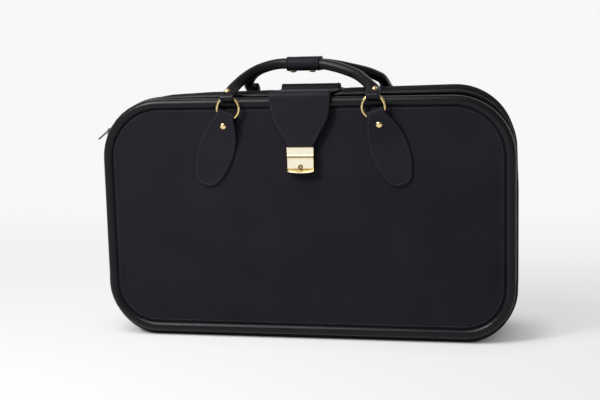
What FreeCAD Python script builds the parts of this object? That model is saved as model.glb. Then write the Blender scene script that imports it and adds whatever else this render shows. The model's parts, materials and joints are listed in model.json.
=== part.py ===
"""Black leather suitcase: a deep leather case, a front leaf closed by a zip, a lock flap and tied roll handles.

Frame in millimetres: +Z up, -Y towards the lock side, X along the width.
The origin is the middle of the flat base. Depths are written for the front, which is the -Y side.
"""
import FreeCAD, Part
import os
from math import atan2, cos, degrees, pi, sin, sqrt

V = FreeCAD.Vector
ORIGIN, X_AXIS, Y_AXIS, Z_AXIS = V(0, 0, 0), V(1, 0, 0), V(0, 1, 0), V(0, 0, 1)
FRONT, BACK = -1, 1
LEFT, RIGHT = -1, 1

# Case outline, measured at the seam between piping and sides
WIDTH = 540.0
BASE, TOP = 6.0, 317.0
CORNER_TOP, CORNER_BOTTOM = 78.0, 66.0

# Flat layers of the front and back walls, from the outside in
PANEL_Y, BOARD_Y, LINING_Y, INSIDE_Y = -62.5, -57.0, -54.6, -53.6
PANEL_INSET, BOARD_INSET, LINING_INSET = 13.6, 3.0, 4.0
PIPING_Y, PIPING_INSET, PIPING_R = -60.2, 6.5, 6.8

# Crowned leather side: how far it swells past the seam at each depth
CROWN_SIDE, CROWN_TOP, CROWN_BASE = 4.0, 9.3, 7.2
CROWN = [(-46.0, 0.35), (-25.0, 0.85), (5.0, 1.0), (38.0, 0.75), (56.6, 0.2)]
GUSSET_WALL = 3.0
SIDE_LINING_INSET, SIDE_LINING_WALL = 3.2, 1.0
SIDE_LINING_Y0, SIDE_LINING_Y1 = -45.8, 53.4

# Zip behind the front piping: it runs over the top and down both sides
ZIP_END_Z = 80.0
TAPE_INSET, TAPE_WALL = 0.4, 1.2
FRONT_TAPE_Y, CASE_TAPE_Y = (-56.9, -53.3), (-49.6, -46.1)
ZIP_MIDDLE_Y = -51.5

# Zip teeth: two legs clamp the tape's edge, and the head reaches between two teeth of the other row
TOOTH_PITCH, TOOTH_WIDE = 4.0, 1.5
TOOTH_OUT, TOOTH_IN = 0.2, -2.2
TOOTH_LEG, TOOTH_HEAD, TOOTH_SLACK = 1.0, 2.4, 0.05

# Leather hinge along the bottom of the front leaf, up round both lower corners to the zip's ends
HINGE_INSET, HINGE_WALL = -1.9, 1.5
HINGE_Y, HINGE_END_Z = (-57.8, -46.2), 79.5

# Zip slider and pull, drawn on the left side at the start of the top corner, then turned up the corner
SLIDER_TURN = 27.0
SLIDER_X, SLIDER_PLATE, SLIDER_HALF_Z = -270.5, 2.0, 6.0
SLIDER_Y = (-55.5, -47.3)
BRIDGE_X, BRIDGE_HALF_Y, BRIDGE_HALF_Z, BRIDGE_BORE = -275.5, 1.0, 3.0, 1.0
PIN_X, PIN_R = -274.0, 0.9
PULL_TILT, PULL_HALF_Y, PULL_THICK = 25.0, 2.7, 1.4
CHEEK_GAP, CHEEK_R = 0.3, 1.2
PULL_NECK, PULL_TIP, PULL_HOLE, PULL_HOLE_Z = 4.6, 19.0, 1.8, 15.6

# Rings and the leaf-shaped chapes that hold them, drawn for the front right
RING_X, RING_Y, RING_Z = 96.0, -70.5, 304.7
RING_R, WIRE_R = 14.5, 1.7
BAR_DROP, BAR_BEND = 8.5, 3.0
BAR_Z = RING_Z - BAR_DROP
CHAPE_BORE = 1.78
CHAPE_TOP, CHAPE_IN_X, CHAPE_OUT_X, CHAPE_NECK_Z = 302.0, 87.5, 104.5, 290.0
LEAF_IN, LEAF_TIP_IN, LEAF_TIP = (84.0, 258.0), (104.0, 209.0), (121.8, 202.3)
LEAF_TIP_OUT, LEAF_OUT = (137.0, 218.0), (133.0, 256.0)
CHAPE_Y, LEAF_Y, LEAF_LIFT_Z = -62.6, -65.8, 258.0
FOLD_R, FOLD_DROP, SEWN_DROP, CHAPE_LOW = 4.1, 5.0, 12.0, 198.0
RIVET_X, RIVET_Z, RIVET_R, RIVET_RISE = 101.0, 281.0, 4.0, 2.2

# Roll handles: drawn flat, then leaned from the ring tops to the middle of the case
EYE_Y, EYE_Z = -70.5, 318.5
APEX_Y, APEX_Z = -8.0, 358.5
HANDLE_REACH = sqrt((APEX_Y - EYE_Y) ** 2 + (APEX_Z - EYE_Z) ** 2)
GRIP_R, GRIP_BEND = 7.0, 40.0
GRIP_LEG, GRIP_SHOULDER_LEFT, GRIP_SHOULDER_RIGHT = (94.1, 20.0), (-86.0, 46.0), (80.0, 46.0)
APEX_LEFT, APEX_RIGHT = -34.0, 22.0
TAB_HALF, TAB_THICK, TAB_LENGTH, TAB_ROUND = 6.0, 8.4, 26.0, 1.8
EYE_R, EYE_BORE = 5.6, 3.0
TAB_RIVET, TAB_RIVET_R, TAB_RIVET_RISE = 13.0, 3.6, 2.2

# Leather wrap that ties the two grips, with press studs underneath
WRAP_X0, WRAP_X1 = -28.0, 16.0
WRAP_INNER, WRAP_WALL = 7.6, 2.0
SNAP_X, SNAP_R, SNAP_RISE = (-20.0, 6.0), 4.5, 2.0

# Flap: a strap sewn to the back and a tongue that lifts at the front edge
FLAP_HALF, FLAP_THICK = 39.5, 4.0
STRAP_PATH = [(64.8, 262.0), (64.8, 288.0), (69.7, 303.0), (69.7, 329.0), (-30.0, 329.0), (-61.2, 321.6)]
STRAP_BENDS = [20.0, 20.0, 12.0, 60.0]
TONGUE_Y0, TONGUE_Y1, BEND_Y, BEND_Z = -72.0, -68.0, -62.0, 313.5
WAIST_HALF, WAIST_Z = 38.5, 298.0
NECK_HALF, NECK_Z, TIP_HALF, TIP_Z = 17.0, 254.0, 16.5, 243.0
TAPER_POLES = [(37.5, 276.0), (19.0, 276.0)]
NOTCH_HALF, NOTCH_Z = 5.5, 250.0

# Lock: hasp on the tongue, case on the front panel, bolt driven by the key plug
LOCK_HALF, LOCK_Y = 17.5, -74.4
HASP_Z0, HASP_Z1, HASP_BACK = 242.2, 254.6, -72.2
STAPLE_HALF, STAPLE_Z0, STAPLE_Z1, STAPLE_Y = 4.0, 244.0, 248.6, -63.6
BOLT_Y, BOLT_Z, BOLT_R, BOLT_BORE, STAPLE_EYE = -65.2, 246.3, 1.0, 1.3, 1.4
BOLT_X0, BOLT_X1, BOLT_WAY = 5.2, 12.5, (4.0, 14.0)
CASE_Z0, CASE_Z1, CASE_LOW, CASE_BACK = 223.5, 241.8, 221.6, -62.7
KEEPER_HALF, KEEPER_Z0, KEEPER_Z1, KEEPER_Y = 14.0, 236.0, 255.0, -67.6
WINDOW_HALF, WINDOW_Z0, WINDOW_Z1 = 5.0, 243.0, 251.0
PLUG_Z, PLUG_R, PLUG_BORE, PLUG_Y, PLUG_BACK, PLUG_FLOOR = 229.0, 3.2, 3.25, -75.2, -66.5, -66.2
KEYWAY_HALF, KEYWAY_HEIGHT, KEYWAY_DEPTH = 0.5, 3.6, 4.0
EDGE_BEVEL = 0.7
BACKPLATE_HALF, BACKPLATE_Z, BACKPLATE_Y = 16.0, (226.0, 256.0), (-53.5, -52.3)


def box(x, y, z):
    """A box from three pairs of limits."""
    return Part.makeBox(x[1] - x[0], y[1] - y[0], z[1] - z[0], V(x[0], y[0], z[0]))


def rod(radius, start, end):
    """A round bar between two points."""
    return Part.makeCylinder(radius, (end - start).Length, start, end - start)


def arc(start, middle, end):
    """An edge along the arc through three points."""
    return Part.Arc(start, middle, end).toShape()


def outline(y, side, top, base):
    """The case's rounded outline at depth y, grown by the given amounts."""
    half, z0, z1 = WIDTH / 2 + side, BASE - base, TOP + top
    r_top, r_base = CORNER_TOP + (side + top) / 2, CORNER_BOTTOM + (side + base) / 2

    def corner(hand, z, up, radius):
        x = hand * (half - radius)
        centre = V(x, y, z - up * radius)
        return [centre + V(0, 0, up * radius), centre + V(hand, 0, up).normalize() * radius,
                centre + V(hand * radius, 0, 0)]
    low_right, high_right = corner(RIGHT, z0, -1, r_base), corner(RIGHT, z1, 1, r_top)
    low_left, high_left = corner(LEFT, z0, -1, r_base), corner(LEFT, z1, 1, r_top)
    return Part.Wire([
        Part.makeLine(low_left[0], low_right[0]), arc(*low_right),
        Part.makeLine(low_right[2], high_right[2]), arc(*reversed(high_right)),
        Part.makeLine(high_right[0], high_left[0]), arc(*high_left),
        Part.makeLine(high_left[2], low_left[2]), arc(*reversed(low_left))])


def slab(inset, near, far):
    """A flat plate of the case's outline, drawn in by inset."""
    return Part.Face(outline(near, -inset, -inset, -inset)).extrude(V(0, far - near, 0))


def band(inset, wall, depths):
    """A thin band along the case's outline between two depths."""
    return slab(inset, *depths).cut(slab(inset + wall, *depths))


def swept(path, section, cross):
    """Solid of a section carried along a path, with a steady cross direction."""
    pipe = Part.BRepOffsetAPI.MakePipeShell(path)
    pipe.setBiNormalMode(cross)
    pipe.add(section)
    pipe.build()
    pipe.makeSolid()
    return pipe.shape()


def bent_path(points, bends):
    """Straight runs joined by tangent arcs of the given radii."""
    edges, last = [], points[0]
    for before, here, after, radius in zip(points, points[1:], points[2:], bends):
        toward, onward = (before - here).normalize(), (after - here).normalize()
        half = toward.getAngle(onward) / 2
        reach = radius * cos(half) / sin(half)
        first, second = here + toward * reach, here + onward * reach
        inward = (toward + onward).normalize()
        edges += [Part.makeLine(last, first), arc(first, here + inward * (radius / sin(half) - radius), second)]
        last = second
    return Part.Wire(edges + [Part.makeLine(last, points[-1])])


def dome(foot, axis, radius, rise):
    """A shallow round rivet head that stands on foot along axis."""
    ball = (radius ** 2 + rise ** 2) / (2 * rise)
    sphere = Part.makeSphere(ball, foot + axis * (rise - ball))
    return sphere.common(Part.makeCylinder(radius, rise, foot, axis))


def on_side(shape, side):
    """The shape as made for the front, or its mirror image for the back."""
    return shape if side == FRONT else shape.mirror(ORIGIN, Y_AXIS)


def on_hand(shape, hand):
    """The shape as made for the right, or its mirror image for the left."""
    return shape if hand == RIGHT else shape.mirror(ORIGIN, X_AXIS)


def pair(shape):
    """The shape and its mirror image on the left, as two separate solids."""
    return Part.makeCompound([shape, on_hand(shape, LEFT)])


def piping():
    """Rolled leather edge of the front, flat where it is sewn to the board."""
    spine = outline(PIPING_Y, -PIPING_INSET, -PIPING_INSET, -PIPING_INSET)
    start = spine.Edges[0].Vertexes[0].Point
    roll = swept(spine, Part.Wire(Part.makeCircle(PIPING_R, start, X_AXIS)), Y_AXIS)
    return roll.common(slab(-2 * PIPING_R, PIPING_Y - 2 * PIPING_R, BOARD_Y))


def crowned(inset):
    """Solid inside the crowned sides, drawn in by inset."""
    wires = [outline(y, full * CROWN_SIDE - inset, full * CROWN_TOP - inset, full * CROWN_BASE - inset)
             for y, full in CROWN]
    return Part.makeLoft(wires, True, True)


def gusset():
    """Crowned leather wall round the case, flat where it stands."""
    shell = crowned(0).cut(crowned(GUSSET_WALL))
    under_floor = box((-WIDTH, WIDTH), (-WIDTH, WIDTH), (-2 * CROWN_BASE, 0))
    return shell.cut(under_floor)


def zip_band(inset, wall, depths):
    """One strip of the zip: over the top and down both sides to its ends."""
    below = box((-WIDTH, WIDTH), (-WIDTH, WIDTH), (-TOP, ZIP_END_Z))
    return band(inset, wall, depths).cut(below)


def tooth_place(way):
    """Point on the seam and turn about Y, at a distance along the zip from the top's middle to the right."""
    across, corner = WIDTH / 2 - CORNER_TOP, CORNER_TOP * pi / 2
    if way <= across:
        return V(way, 0, TOP), 0
    if way >= across + corner:
        return V(WIDTH / 2, 0, TOP - CORNER_TOP - (way - across - corner)), 90
    turn = (way - across) / CORNER_TOP
    return V(across, 0, TOP - CORNER_TOP) + V(sin(turn), 0, cos(turn)) * CORNER_TOP, degrees(turn)


def zip_teeth(tape_edge, ahead, first):
    """Teeth of one row, clamped on a tape's edge with their heads ahead of it, from the first one's distance."""
    def at(out, reach):
        return V(-TOOTH_WIDE / 2, tape_edge + ahead * reach, out)
    slot_out, slot_in = TOOTH_SLACK - TAPE_INSET, -TAPE_INSET - TAPE_WALL - TOOTH_SLACK
    rim = [at(TOOTH_OUT, -TOOTH_LEG), at(TOOTH_OUT, TOOTH_HEAD), at(TOOTH_IN, TOOTH_HEAD), at(TOOTH_IN, -TOOTH_LEG),
           at(slot_in, -TOOTH_LEG), at(slot_in, TOOTH_SLACK), at(slot_out, TOOTH_SLACK), at(slot_out, -TOOTH_LEG)]
    tooth = Part.Face(Part.makePolygon(rim + rim[:1])).extrude(V(TOOTH_WIDE, 0, 0))
    end = WIDTH / 2 - CORNER_TOP + CORNER_TOP * pi / 2 + TOP - CORNER_TOP - ZIP_END_Z - TOOTH_WIDE
    teeth = []
    for step in range(int((end - first) / TOOTH_PITCH) + 1):
        point, turn = tooth_place(first + step * TOOTH_PITCH)
        one = tooth.copy()
        one.rotate(ORIGIN, Y_AXIS, turn)
        one.translate(point)
        teeth += [one] if point.x == 0 else [one, on_hand(one, LEFT)]
    return Part.makeCompound(teeth)


def hinge_leather():
    """Leather strip that the front leaf swings on, along the bottom and up to the zip's ends."""
    above = box((-WIDTH, WIDTH), (-WIDTH, WIDTH), (HINGE_END_Z, 2 * TOP))
    return band(HINGE_INSET, HINGE_WALL, HINGE_Y).cut(above)


def chape():
    """Front right chape: a leaf whose narrow top folds round the ring's bar."""
    deep = 2 * PANEL_Y

    def at(x, z):
        return V(x, deep, z)
    neck_in, neck_out = at(CHAPE_IN_X, CHAPE_NECK_Z), at(CHAPE_OUT_X, CHAPE_NECK_Z)
    top_in, top_out = at(CHAPE_IN_X, CHAPE_TOP), at(CHAPE_OUT_X, CHAPE_TOP)
    rim = Part.Wire([
        Part.makeLine(top_out, top_in), Part.makeLine(top_in, neck_in),
        arc(neck_in, at(*LEAF_IN), at(*LEAF_TIP_IN)), arc(at(*LEAF_TIP_IN), at(*LEAF_TIP), at(*LEAF_TIP_OUT)),
        arc(at(*LEAF_TIP_OUT), at(*LEAF_OUT), neck_out), Part.makeLine(neck_out, top_out)])
    leaf = Part.Face(rim).extrude(V(0, -deep, 0))

    def edge(y, z):
        return V(0, y, z)
    fold_out, fold_in = edge(RING_Y - FOLD_R, BAR_Z), edge(RING_Y + FOLD_R, BAR_Z)
    profile = Part.Wire([
        Part.makePolygon([fold_in, edge(RING_Y + FOLD_R, BAR_Z - FOLD_DROP), edge(CHAPE_Y, BAR_Z - SEWN_DROP),
                          edge(CHAPE_Y, CHAPE_LOW), edge(LEAF_Y, CHAPE_LOW), edge(LEAF_Y, LEAF_LIFT_Z), fold_out]),
        arc(fold_out, edge(RING_Y, BAR_Z + FOLD_R), fold_in)])
    thickness = Part.Face(profile).extrude(V(WIDTH / 2, 0, 0))
    bore = rod(CHAPE_BORE, V(0, RING_Y, BAR_Z), V(WIDTH / 2, RING_Y, BAR_Z))
    return leaf.common(thickness).cut(bore)


def chape_rivets():
    """Two domed rivets on the sloped necks of the front chapes."""
    slope = V(0, BAR_Z - LEAF_LIFT_Z, RING_Y - FOLD_R - LEAF_Y).normalize()
    out = V(0, -slope.y, slope.z)
    up = (RIVET_Z - LEAF_LIFT_Z) / (BAR_Z - LEAF_LIFT_Z)
    foot = V(RIVET_X, LEAF_Y + up * (RING_Y - FOLD_R - LEAF_Y), RIVET_Z)
    return pair(dome(foot, out, RIVET_R, RIVET_RISE))


def ring():
    """Front right ring: a round of wire with a short straight bar inside the chape."""
    bend_x = sqrt((RING_R - BAR_BEND) ** 2 - (BAR_DROP - BAR_BEND) ** 2)
    bend_z = BAR_BEND - BAR_DROP
    reach = RING_R / (RING_R - BAR_BEND)

    def at(x, z):
        return V(RING_X + x, RING_Y, RING_Z + z)
    touch_x, touch_z = bend_x * reach, bend_z * reach
    side = V(touch_x - bend_x, 0, touch_z - bend_z).normalize() + V(0, 0, -1)
    out = V(bend_x, 0, bend_z) + side.normalize() * BAR_BEND
    path = Part.Wire([
        Part.makeLine(at(-bend_x, -BAR_DROP), at(bend_x, -BAR_DROP)),
        arc(at(bend_x, -BAR_DROP), at(out.x, out.z), at(touch_x, touch_z)),
        arc(at(touch_x, touch_z), at(0, RING_R), at(-touch_x, touch_z)),
        arc(at(-touch_x, touch_z), at(-out.x, out.z), at(-bend_x, -BAR_DROP))])
    return swept(path, Part.Wire(Part.makeCircle(WIRE_R, at(-bend_x, -BAR_DROP), X_AXIS)), Y_AXIS)


def leaned(shape):
    """Carry a handle part, drawn flat with Y along the reach and Z outward, to its lean."""
    moved = shape.copy()
    moved.rotate(ORIGIN, X_AXIS, degrees(atan2(APEX_Z - EYE_Z, APEX_Y - EYE_Y)))
    moved.translate(V(0, EYE_Y, EYE_Z))
    return moved


def handle():
    """Front handle: rolled grip, flattened ends and the eyes round the rings."""
    leg_x, leg_y = GRIP_LEG
    points = [V(-leg_x, leg_y, 0), V(*GRIP_SHOULDER_LEFT, 0), V(APEX_LEFT, HANDLE_REACH, 0),
              V(APEX_RIGHT, HANDLE_REACH, 0), V(*GRIP_SHOULDER_RIGHT, 0), V(leg_x, leg_y, 0)]
    path = bent_path(points, [GRIP_BEND] * 4)
    grip = swept(path, Part.Wire(Part.makeCircle(GRIP_R, points[0], points[1] - points[0])), Z_AXIS)
    half = TAB_THICK / 2
    tab = box((RING_X - TAB_HALF, RING_X + TAB_HALF), (0, TAB_LENGTH), (-half, half))
    tab = tab.makeFillet(TAB_ROUND, [e for e in tab.Edges if abs(e.Vertexes[0].Y - e.Vertexes[1].Y) > half])
    eye_start, eye_end = V(RING_X - TAB_HALF, 0, 0), V(RING_X + TAB_HALF, 0, 0)
    end = tab.fuse(rod(EYE_R, eye_start, eye_end)).removeSplitter()
    bore = rod(EYE_BORE, eye_start - X_AXIS, eye_end + X_AXIS)
    whole = grip.fuse([end, on_hand(end, LEFT)])
    return leaned(whole.cut([bore, on_hand(bore, LEFT)]))


def handle_rivets():
    """Brass rivet on each flattened end of the front handle."""
    return leaned(pair(dome(V(RING_X, TAB_RIVET, TAB_THICK / 2), Z_AXIS, TAB_RIVET_R, TAB_RIVET_RISE)))


def stadium(radius):
    """Outline that encloses both grips at the wrap's left end."""
    high, low = APEX_Z + radius, APEX_Z - radius
    far = -APEX_Y
    front_high, back_high = V(WRAP_X0, APEX_Y, high), V(WRAP_X0, far, high)
    front_low, back_low = V(WRAP_X0, APEX_Y, low), V(WRAP_X0, far, low)
    return Part.Wire([
        Part.makeLine(front_high, back_high), arc(back_high, V(WRAP_X0, far + radius, APEX_Z), back_low),
        Part.makeLine(back_low, front_low), arc(front_low, V(WRAP_X0, APEX_Y - radius, APEX_Z), front_high)])


def handle_wrap():
    """Leather sleeve that ties the two grips together."""
    section = Part.Face(stadium(WRAP_INNER + WRAP_WALL)).cut(Part.Face(stadium(WRAP_INNER)))
    return section.extrude(V(WRAP_X1 - WRAP_X0, 0, 0))


def wrap_snaps():
    """Two press studs under the wrap, below the front grip."""
    z = APEX_Z - WRAP_INNER - WRAP_WALL
    return Part.makeCompound([dome(V(x, APEX_Y, z), -Z_AXIS, SNAP_R, SNAP_RISE) for x in SNAP_X])


def flap_strap():
    """Fixed part of the flap: up the back, over the top and forward to the bend."""
    y, z = STRAP_PATH[0]
    half = FLAP_THICK / 2
    corners = [V(-FLAP_HALF, y - half, z), V(FLAP_HALF, y - half, z),
               V(FLAP_HALF, y + half, z), V(-FLAP_HALF, y + half, z)]
    path = bent_path([V(0, y, z) for y, z in STRAP_PATH], STRAP_BENDS)
    return swept(path, Part.makePolygon(corners + corners[:1]), X_AXIS)


def flap_tongue():
    """Front of the flap: straight sides, an S-shaped taper to the lock, and the bend at its top."""
    def at(hand, x, z):
        return V(hand * x, TONGUE_Y0, z)

    def side(hand):
        top, waist = at(hand, FLAP_HALF, BEND_Z), at(hand, WAIST_HALF, WAIST_Z)
        neck = at(hand, NECK_HALF, NECK_Z)
        taper = Part.BezierCurve()
        taper.setPoles([waist] + [at(hand, x, z) for x, z in TAPER_POLES] + [neck])
        return [Part.makeLine(top, waist), taper.toShape(), Part.makeLine(neck, at(hand, TIP_HALF, TIP_Z))]
    bottom = Part.makeLine(at(RIGHT, TIP_HALF, TIP_Z), at(LEFT, TIP_HALF, TIP_Z))
    top = Part.makeLine(at(LEFT, FLAP_HALF, BEND_Z), at(RIGHT, FLAP_HALF, BEND_Z))
    rim = Part.Wire(Part.sortEdges([top] + side(RIGHT) + [bottom] + side(LEFT))[0])
    plate = Part.Face(rim).extrude(V(0, TONGUE_Y1 - TONGUE_Y0, 0))
    start, end = V(-FLAP_HALF, BEND_Y, BEND_Z), V(FLAP_HALF, BEND_Y, BEND_Z)
    roll = rod(BEND_Y - TONGUE_Y0, start, end).cut(rod(BEND_Y - TONGUE_Y1, start, end))
    quarter = box((-FLAP_HALF, FLAP_HALF), (TONGUE_Y0, BEND_Y), (BEND_Z, TOP + CROWN_TOP))
    notch = box((-NOTCH_HALF, NOTCH_HALF), (TONGUE_Y0, TONGUE_Y1), (TIP_Z, NOTCH_Z))
    return plate.fuse(roll.common(quarter)).removeSplitter().cut(notch)


def front_bevel(block, y):
    """Break the edges of a block's front face."""
    edges = [e for e in block.Edges if all(abs(v.Y - y) < 1e-6 for v in e.Vertexes)]
    return block.makeChamfer(EDGE_BEVEL, edges)


def hasp_plate():
    """Upper lock plate that covers the tongue's tip."""
    plate = box((-LOCK_HALF, LOCK_HALF), (LOCK_Y, HASP_BACK), (HASP_Z0, HASP_Z1))
    return front_bevel(plate, LOCK_Y)


def bolt_rod(radius, x0, x1):
    """A round along the bolt's line."""
    return rod(radius, V(x0, BOLT_Y, BOLT_Z), V(x1, BOLT_Y, BOLT_Z))


def hasp_staple():
    """Staple through the tongue's tip, with an eye for the bolt."""
    block = box((-STAPLE_HALF, STAPLE_HALF), (HASP_BACK, STAPLE_Y), (STAPLE_Z0, STAPLE_Z1))
    return block.cut(bolt_rod(STAPLE_EYE, -LOCK_HALF, LOCK_HALF))


def lock_case():
    """Lower lock body with a bowed bottom edge, and the keeper behind the tongue."""
    low_left, low_right = V(-LOCK_HALF, LOCK_Y, CASE_Z0), V(LOCK_HALF, LOCK_Y, CASE_Z0)
    high_left, high_right = V(-LOCK_HALF, LOCK_Y, CASE_Z1), V(LOCK_HALF, LOCK_Y, CASE_Z1)
    rim = Part.Wire([arc(low_left, V(0, LOCK_Y, CASE_LOW), low_right), Part.makeLine(low_right, high_right),
                     Part.makeLine(high_right, high_left), Part.makeLine(high_left, low_left)])
    block = front_bevel(Part.Face(rim).extrude(V(0, CASE_BACK - LOCK_Y, 0)), LOCK_Y)
    keeper = box((-KEEPER_HALF, KEEPER_HALF), (KEEPER_Y, CASE_BACK), (KEEPER_Z0, KEEPER_Z1))
    window = box((-WINDOW_HALF, WINDOW_HALF), (KEEPER_Y, CASE_BACK), (WINDOW_Z0, WINDOW_Z1))
    plug_bore = rod(PLUG_BORE, V(0, 2 * LOCK_Y, PLUG_Z), V(0, PLUG_FLOOR, PLUG_Z))
    return block.fuse(keeper).removeSplitter().cut([window, plug_bore, bolt_rod(BOLT_BORE, *BOLT_WAY)])


def key_plug():
    """Round key plug with its keyway."""
    plug = rod(PLUG_R, V(0, PLUG_Y, PLUG_Z), V(0, PLUG_BACK, PLUG_Z))
    half = KEYWAY_HEIGHT / 2
    keyway = box((-KEYWAY_HALF, KEYWAY_HALF), (PLUG_Y, PLUG_Y + KEYWAY_DEPTH), (PLUG_Z - half, PLUG_Z + half))
    return plug.cut(keyway)


def lock_bolt():
    """Bolt that the key drives sideways into the staple."""
    return bolt_rod(BOLT_R, BOLT_X0, BOLT_X1)


def lock_backplate():
    """Plate inside the lining that the lock is clinched to."""
    return box((-BACKPLATE_HALF, BACKPLATE_HALF), BACKPLATE_Y, BACKPLATE_Z)


def up_the_corner(shape):
    """Turn a zip part from the start of the left top corner to its place on that corner."""
    moved = shape.copy()
    moved.rotate(V(CORNER_TOP - WIDTH / 2, 0, TOP - CORNER_TOP), Y_AXIS, SLIDER_TURN)
    return moved


def zip_slider():
    """Slider plate over the teeth, with the bridge that carries the pull."""
    z = TOP - CORNER_TOP
    outer = SLIDER_X - SLIDER_PLATE
    plate = box((outer, SLIDER_X), SLIDER_Y, (z - SLIDER_HALF_Z, z + SLIDER_HALF_Z))
    corners = [e for e in plate.Edges if abs(e.Vertexes[0].X - e.Vertexes[1].X) > SLIDER_PLATE / 2]
    plate = plate.makeFillet(SLIDER_PLATE, corners)
    bridge = box((BRIDGE_X, outer), (ZIP_MIDDLE_Y - BRIDGE_HALF_Y, ZIP_MIDDLE_Y + BRIDGE_HALF_Y),
                 (z - BRIDGE_HALF_Z, z + BRIDGE_HALF_Z))
    bore = rod(BRIDGE_BORE, V(PIN_X, SLIDER_Y[0], z), V(PIN_X, SLIDER_Y[1], z))
    return up_the_corner(plate.fuse(bridge).cut(bore))


def zip_pull():
    """Pull: a pin through the bridge, two cheeks and a flat tab with a hole."""
    hinge = V(PIN_X, ZIP_MIDDLE_Y, TOP - CORNER_TOP)
    side = V(0, PULL_HALF_Y, 0)
    pin = rod(PIN_R, hinge - side, hinge + side)
    cheeks = rod(CHEEK_R, hinge - side, hinge + side)
    half = PULL_THICK / 2
    y = (ZIP_MIDDLE_Y - PULL_HALF_Y, ZIP_MIDDLE_Y + PULL_HALF_Y)
    tab = box((PIN_X - half, PIN_X + half), y, (hinge.z - PULL_TIP, hinge.z))
    across = [e for e in tab.Edges if abs(e.Vertexes[0].X - e.Vertexes[1].X) > half]
    corners = [e for e in across if e.Vertexes[0].Z < hinge.z - half]
    tab = tab.makeFillet(PULL_HALF_Y - half, corners)
    gap = BRIDGE_HALF_Y + CHEEK_GAP
    fork = box((PIN_X - PULL_TIP, PIN_X + PULL_TIP), (ZIP_MIDDLE_Y - gap, ZIP_MIDDLE_Y + gap),
               (hinge.z - PULL_NECK, hinge.z + PULL_TIP))
    eye = hinge - V(0, 0, PULL_HOLE_Z)
    hole = rod(PULL_HOLE, eye - X_AXIS * PULL_THICK, eye + X_AXIS * PULL_THICK)
    pull = tab.fuse(cheeks).cut([fork, hole]).fuse(pin)
    pull.rotate(hinge, Y_AXIS, PULL_TILT)
    return up_the_corner(pull)


def wall(side):
    """Panel, board, lining and piping of the front or back wall."""
    return {
        "panel": on_side(slab(PANEL_INSET, PANEL_Y, BOARD_Y), side),
        "board": on_side(slab(BOARD_INSET, BOARD_Y, LINING_Y), side),
        "lining": on_side(slab(LINING_INSET, LINING_Y, INSIDE_Y), side),
        "piping": on_side(piping(), side),
    }


def carrying(side):
    """Chapes, rings and roll handle of the front or back."""
    parts = {
        "chape_rivets": on_side(chape_rivets(), side),
        "handle": on_side(handle(), side),
        "handle_rivets": on_side(handle_rivets(), side),
    }
    for hand, word in ((LEFT, "left"), (RIGHT, "right")):
        parts["chape_" + word] = on_side(on_hand(chape(), hand), side)
        parts["ring_" + word] = on_side(on_hand(ring(), hand), side)
    return parts


def suitcase():
    """All sub-parts by node name."""
    nodes = {
        "front_zip_tape": zip_band(TAPE_INSET, TAPE_WALL, FRONT_TAPE_Y),
        "front_zip_teeth": zip_teeth(FRONT_TAPE_Y[1], 1, TOOTH_PITCH / 2),
        "case_zip_teeth": zip_teeth(CASE_TAPE_Y[0], -1, 0),
        "case_zip_tape": zip_band(TAPE_INSET, TAPE_WALL, CASE_TAPE_Y),
        "side_lining": band(SIDE_LINING_INSET, SIDE_LINING_WALL, (SIDE_LINING_Y0, SIDE_LINING_Y1)),
    }
    for side, word in ((FRONT, "front"), (BACK, "back")):
        for part, shape in {**wall(side), **carrying(side)}.items():
            nodes[word + "_" + part] = shape
    for make in (gusset, hinge_leather, flap_strap, flap_tongue, hasp_plate, hasp_staple, lock_case, lock_bolt,
                 key_plug, lock_backplate, handle_wrap, wrap_snaps, zip_slider, zip_pull):
        nodes[make.__name__] = make()
    return nodes


os.makedirs("parts", exist_ok=True)
for node, shape in suitcase().items():
    shape.exportStep("parts/" + node + ".step")
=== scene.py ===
"""Looks of the black leather suitcase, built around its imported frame.

Shapes are drawn in millimetres and stored in metres, in the frame's axes:
+Z is up and -Y points towards the lock.
"""
import json
import math
import bpy
from mathutils import Matrix, Vector, noise


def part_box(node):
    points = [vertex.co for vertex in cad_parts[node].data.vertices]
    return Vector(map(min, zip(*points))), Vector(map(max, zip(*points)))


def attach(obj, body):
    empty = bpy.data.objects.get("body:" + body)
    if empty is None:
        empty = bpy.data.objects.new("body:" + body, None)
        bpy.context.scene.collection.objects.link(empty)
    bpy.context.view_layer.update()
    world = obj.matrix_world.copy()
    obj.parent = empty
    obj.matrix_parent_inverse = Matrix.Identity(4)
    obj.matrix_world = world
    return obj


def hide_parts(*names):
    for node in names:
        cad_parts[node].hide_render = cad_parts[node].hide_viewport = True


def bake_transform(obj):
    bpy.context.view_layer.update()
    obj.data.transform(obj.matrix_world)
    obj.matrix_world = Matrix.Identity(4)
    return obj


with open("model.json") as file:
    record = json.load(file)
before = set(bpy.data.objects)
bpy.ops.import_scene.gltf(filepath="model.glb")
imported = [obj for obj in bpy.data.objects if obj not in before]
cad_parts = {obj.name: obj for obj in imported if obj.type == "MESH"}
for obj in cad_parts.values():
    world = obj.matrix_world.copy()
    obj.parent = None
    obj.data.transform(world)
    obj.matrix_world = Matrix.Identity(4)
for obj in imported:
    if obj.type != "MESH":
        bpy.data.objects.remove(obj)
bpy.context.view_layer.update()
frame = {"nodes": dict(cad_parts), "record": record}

MM = 0.001
TURN = 2 * math.pi
FRONT, BACK = -1, 1
LEFT, RIGHT = -1, 1
FORWARD, BACKWARD = Vector((0, -1, 0)), Vector((0, 1, 0))
# Each wall's side, the word in its names and the body that carries it
WALLS = ((FRONT, "front", "front"), (BACK, "back", "case"))


def box_mm(node):
    """Lowest and highest corner of a frame node, in millimetres."""
    low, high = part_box(node)
    return low / MM, high / MM


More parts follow.
